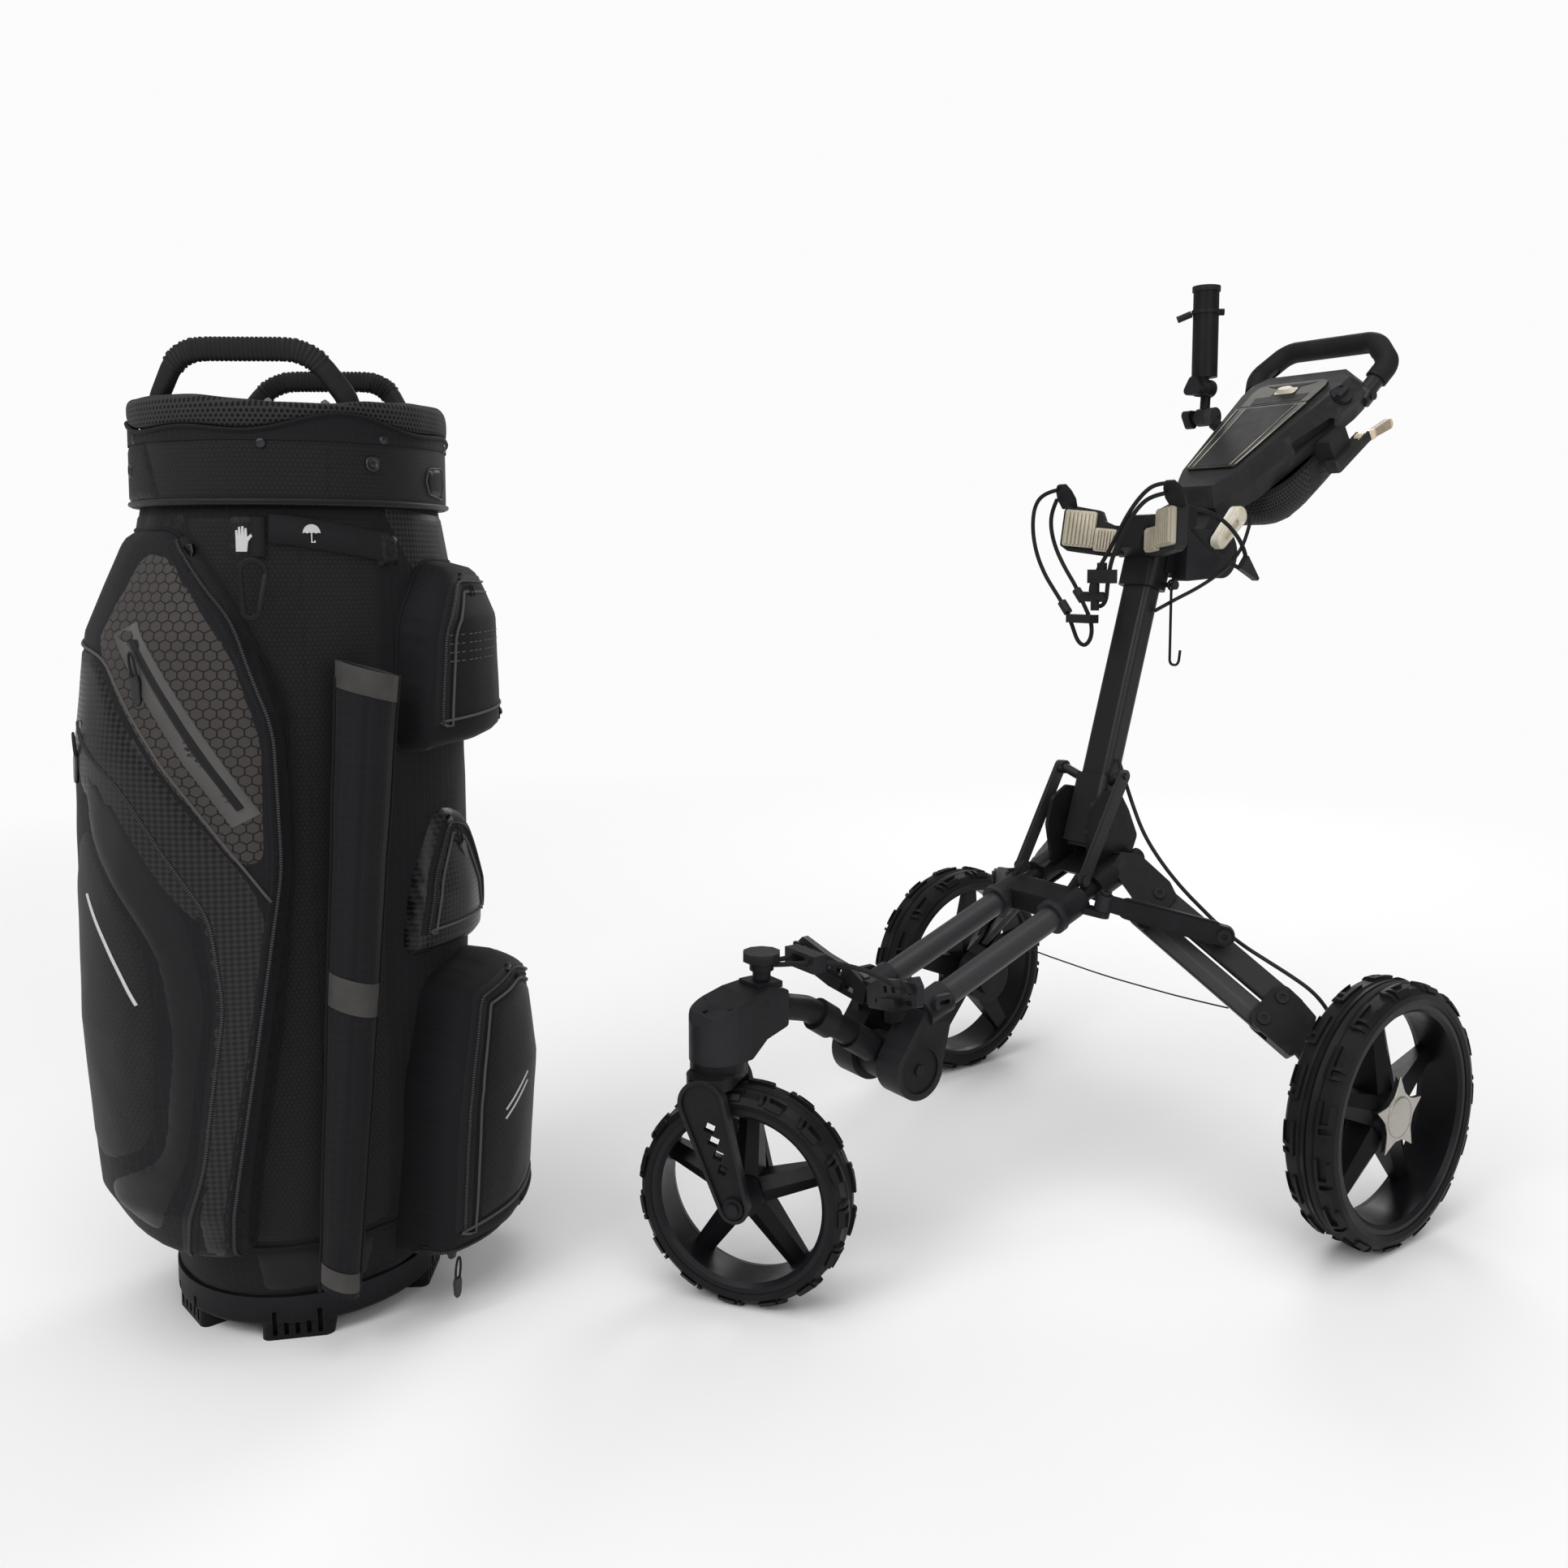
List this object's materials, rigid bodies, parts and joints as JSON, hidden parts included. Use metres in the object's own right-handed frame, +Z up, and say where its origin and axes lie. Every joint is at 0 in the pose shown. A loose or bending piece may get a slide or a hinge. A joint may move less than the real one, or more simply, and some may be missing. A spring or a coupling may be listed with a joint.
{
  "type": "golf bag and push cart",
  "caption": "Golf bag standing beside an unfolded three-wheeled push cart with folding frame, swivel front wheel, console and umbrella holder.",
  "frame": {"origin": "on the floor, at the centre of the footprint of the cart and the bag together", "axes": "+Z up; -Y the way the cart's front wheel leads, towards the bag; +X to the cart's left"},
  "size_m": [0.758, 1.513, 1.076],
  "materials": {
    "tyre_black": "black moulded tread rubber",
    "rim_black": "satin black moulded spokes",
    "frame_paint": "matte charcoal powder coat",
    "cast_black": "fine textured black moulding",
    "pad_cream": "cream soft ribbed rubber",
    "lever_cream": "cream satin plastic",
    "lever_beige": "beige brown satin plastic",
    "lid_bronze": "olive bronze metallic",
    "grip_rubber": "soft black foam rubber",
    "mesh_black": "black knitted mesh",
    "hook_wire": "black coated wire",
    "cord_black": "braided elastic cord",
    "fitting_black": "black plastic",
    "cable_black": "black cable sleeve",
    "bag_nylon": "black woven nylon",
    "bag_panel": "brown grey honeycomb and satin",
    "divider_grey": "grey brushed mesh",
    "handle_black": "black ribbed moulding",
    "base_black": "black textured plastic",
    "clip_black": "black anodised clip"
  },
  "bodies": {
    "frame": {"frame_tubes": "frame_paint", "hub_casting": "cast_black", "fold_drum": "cast_black", "lower_cradle": "cast_black"},
    "bracket": {"column_bracket": "cast_black", "brake_cable_lower": "cable_black", "cross_cable": "cable_black"},
    "column": {"column": "frame_paint", "upper_cradle": "cast_black", "cradle_pads": "pad_cream", "bungee_right": "cord_black", "bungee_left": "cord_black", "bungee_tab": "cord_black", "bungee_fittings": "fitting_black", "brake_cable_upper": "cable_black"},
    "front_arm": {"front_arm": "frame_paint", "steering_head": "cast_black", "bungee_lower": "cord_black", "lower_fittings": "fitting_black"},
    "fork": {"front_fork": "cast_black"},
    "front_wheel": {"front_tyre": "tyre_black", "front_rim": "rim_black"},
    "console": {"console_housing": "cast_black", "push_handle": "frame_paint", "handle_grip": "grip_rubber", "console_pouch": "mesh_black"},
    "lid": {"console_lid": "lid_bronze"},
    "latch": {"lid_latch": "lever_cream"},
    "cam_lever": {"cam_lever": "lever_cream"},
    "brake_lever": {"brake_lever": "lever_beige"},
    "turn_knob": {"turn_knob": "cast_black"},
    "umbrella_elbow": {"umbrella_elbow": "cast_black"},
    "umbrella_tube": {"umbrella_tube": "cast_black"},
    "hook": {"cord_hook": "hook_wire"},
    "bag": {"bag_body": "bag_nylon", "bag_base": "base_black", "bag_cuff": "bag_nylon", "rim_pad": "mesh_black", "bag_dividers": "divider_grey", "bag_handles": "handle_black", "apparel_pocket": "bag_panel", "upper_pocket": "bag_nylon", "middle_pocket": "bag_nylon", "ball_pocket": "bag_nylon", "putter_sleeve": "bag_nylon"},
    "carabiner": {"carabiner": "clip_black"},
    "strut_left": {"strut_left": "frame_paint"},
    "leg_left": {"leg_bar_left": "frame_paint"},
    "rod_left": {"leg_rod_left": "frame_paint"},
    "carrier_left": {"wheel_carrier_left": "cast_black"},
    "wheel_left": {"rear_tyre_left": "tyre_black", "rear_rim_left": "rim_black"},
    "link_left": {"link_arm_left": "frame_paint"},
    "strut_right": {"strut_right": "frame_paint"},
    "leg_right": {"leg_bar_right": "frame_paint"},
    "rod_right": {"leg_rod_right": "frame_paint"},
    "carrier_right": {"wheel_carrier_right": "cast_black"},
    "wheel_right": {"rear_tyre_right": "tyre_black", "rear_rim_right": "rim_black"},
    "link_right": {"link_arm_right": "frame_paint"}
  },
  "joints": [
    {"name": "bracket_slide", "type": "slide", "parent": "frame", "child": "bracket", "axis": [0, 0.9397, 0.342], "range_m": [0, 0.101]},
    {"name": "column_fold", "type": "hinge", "parent": "bracket", "child": "column", "pos_m": [0.0325, 0.28357, 0.411], "axis": [1, 0, 0], "range_deg": [0, 100], "deforming": ["brake_cable_lower", "cross_cable"]},
    {"name": "strut_left", "type": "hinge", "parent": "column", "child": "strut_left", "pos_m": [0.0785, 0.28357, 0.468], "axis": [1, 0, 0], "range_deg": [-123, 0]},
    {"name": "leg_left", "type": "hinge", "parent": "bracket", "child": "leg_left", "pos_m": [0.1225, 0.29757, 0.335], "axis": [0.6146, -0.6358, 0.467], "range_deg": [-56, 0]},
    {"name": "rod_left", "type": "hinge", "parent": "bracket", "child": "rod_left", "pos_m": [0.11545, 0.27557, 0.31433], "axis": [0.6146, -0.6358, 0.467], "range_deg": [-56, 0]},
    {"name": "carrier_left", "type": "hinge", "parent": "leg_left", "child": "carrier_left", "pos_m": [0.24789, 0.34798, 0.2386], "axis": [0.6146, -0.6358, 0.467], "range_deg": [0, 56]},
    {"name": "wheel_left", "type": "hinge", "parent": "carrier_left", "child": "wheel_left", "pos_m": [0.3505, 0.37857, 0.14], "axis": [1, 0, 0], "continuous": true},
    {"name": "link_left", "type": "hinge", "parent": "frame", "child": "link_left", "pos_m": [0.1025, 0.22807, 0.3335], "axis": [0.2051, 0.0753, 0.9758], "range_deg": [0, 23.5]},
    {"name": "strut_right", "type": "hinge", "parent": "column", "child": "strut_right", "pos_m": [-0.0135, 0.28357, 0.468], "axis": [1, 0, 0], "range_deg": [-123, 0]},
    {"name": "leg_right", "type": "hinge", "parent": "bracket", "child": "leg_right", "pos_m": [-0.0575, 0.29757, 0.335], "axis": [0.6146, 0.6358, -0.467], "range_deg": [-56, 0]},
    {"name": "rod_right", "type": "hinge", "parent": "bracket", "child": "rod_right", "pos_m": [-0.05045, 0.27557, 0.31433], "axis": [0.6146, 0.6358, -0.467], "range_deg": [-56, 0]},
    {"name": "carrier_right", "type": "hinge", "parent": "leg_right", "child": "carrier_right", "pos_m": [-0.18289, 0.34798, 0.2386], "axis": [0.6146, 0.6358, -0.467], "range_deg": [0, 56]},
    {"name": "wheel_right", "type": "hinge", "parent": "carrier_right", "child": "wheel_right", "pos_m": [-0.2855, 0.37857, 0.14], "axis": [1, 0, 0], "continuous": true},
    {"name": "link_right", "type": "hinge", "parent": "frame", "child": "link_right", "pos_m": [-0.0375, 0.22807, 0.3335], "axis": [0.2051, -0.0753, -0.9758], "range_deg": [0, 23.5]},
    {"name": "front_arm_fold", "type": "hinge", "parent": "frame", "child": "front_arm", "pos_m": [0.0325, -0.02943, 0.191], "axis": [1, 0, 0], "range_deg": [0, 130]},
    {"name": "fork_swivel", "type": "hinge", "parent": "front_arm", "child": "fork", "pos_m": [0.0325, -0.24343, 0.235], "axis": [0, 0, 1], "continuous": true},
    {"name": "front_wheel", "type": "hinge", "parent": "fork", "child": "front_wheel", "pos_m": [0.05677, -0.2258, 0.106], "axis": [0.5878, -0.809, 0], "continuous": true},
    {"name": "console_tilt", "type": "hinge", "parent": "column", "child": "console", "pos_m": [0.0325, 0.45657, 0.723], "axis": [1, 0, 0], "range_deg": [-25, 35], "deforming": ["brake_cable_upper"]},
    {"name": "cam_lever", "type": "hinge", "parent": "column", "child": "cam_lever", "pos_m": [0.08, 0.44057, 0.737], "axis": [1, 0, 0], "range_deg": [0, 85]},
    {"name": "lid_hinge", "type": "hinge", "parent": "console", "child": "lid", "pos_m": [0.0325, 0.49159, 0.82689], "axis": [1, 0, 0], "range_deg": [0, 95]},
    {"name": "latch_press", "type": "slide", "parent": "lid", "child": "latch", "axis": [0, 0.5592, -0.829], "range_m": [0, 0.002], "stiffness_N_per_m": 300},
    {"name": "brake_lever", "type": "hinge", "parent": "console", "child": "brake_lever", "pos_m": [0.0325, 0.67626, 0.86786], "axis": [1, 0, 0], "range_deg": [0, 15]},
    {"name": "turn_knob", "type": "hinge", "parent": "console", "child": "turn_knob", "pos_m": [0.107, 0.64824, 0.92013], "axis": [0.6222, -0.4377, 0.649], "range_deg": [-90, 90]},
    {"name": "umbrella_elbow", "type": "hinge", "parent": "console", "child": "umbrella_elbow", "pos_m": [-0.0575, 0.59657, 0.905], "axis": [1, 0, 0], "range_deg": [-30, 60]},
    {"name": "umbrella_tube", "type": "hinge", "parent": "umbrella_elbow", "child": "umbrella_tube", "pos_m": [-0.0575, 0.59457, 0.943], "axis": [0, 1, 0], "range_deg": [-60, 60]},
    {"name": "cord_hook", "type": "hinge", "parent": "column", "child": "hook", "pos_m": [0.0677, 0.37696, 0.6857], "axis": [1, 0, 0], "range_deg": [-50, 50]},
    {"name": "bag_lift", "type": "slide", "parent": "frame", "child": "bag", "axis": [0, 0, 1], "range_m": [0, 0.95]},
    {"name": "carabiner", "type": "hinge", "parent": "bag", "child": "carabiner", "pos_m": [-0.09062, -0.63341, 0.7143], "axis": [0.9703, -0.2419, 0], "range_deg": [-25, 25]}
  ],
  "couplings": [
    {"joint": "bracket_slide", "follows": "column_fold", "m_per_rad": 0.057227},
    {"joint": "strut_left", "follows": "column_fold", "ratio": -1.2209},
    {"joint": "leg_left", "follows": "column_fold", "ratio": -0.5562},
    {"joint": "rod_left", "follows": "column_fold", "ratio": -0.5562},
    {"joint": "carrier_left", "follows": "column_fold", "ratio": 0.5562},
    {"joint": "link_left", "follows": "column_fold", "ratio": 0.23136},
    {"joint": "strut_right", "follows": "column_fold", "ratio": -1.2209},
    {"joint": "leg_right", "follows": "column_fold", "ratio": -0.5562},
    {"joint": "rod_right", "follows": "column_fold", "ratio": -0.5562},
    {"joint": "carrier_right", "follows": "column_fold", "ratio": 0.5562},
    {"joint": "link_right", "follows": "column_fold", "ratio": 0.23136}
  ]
}
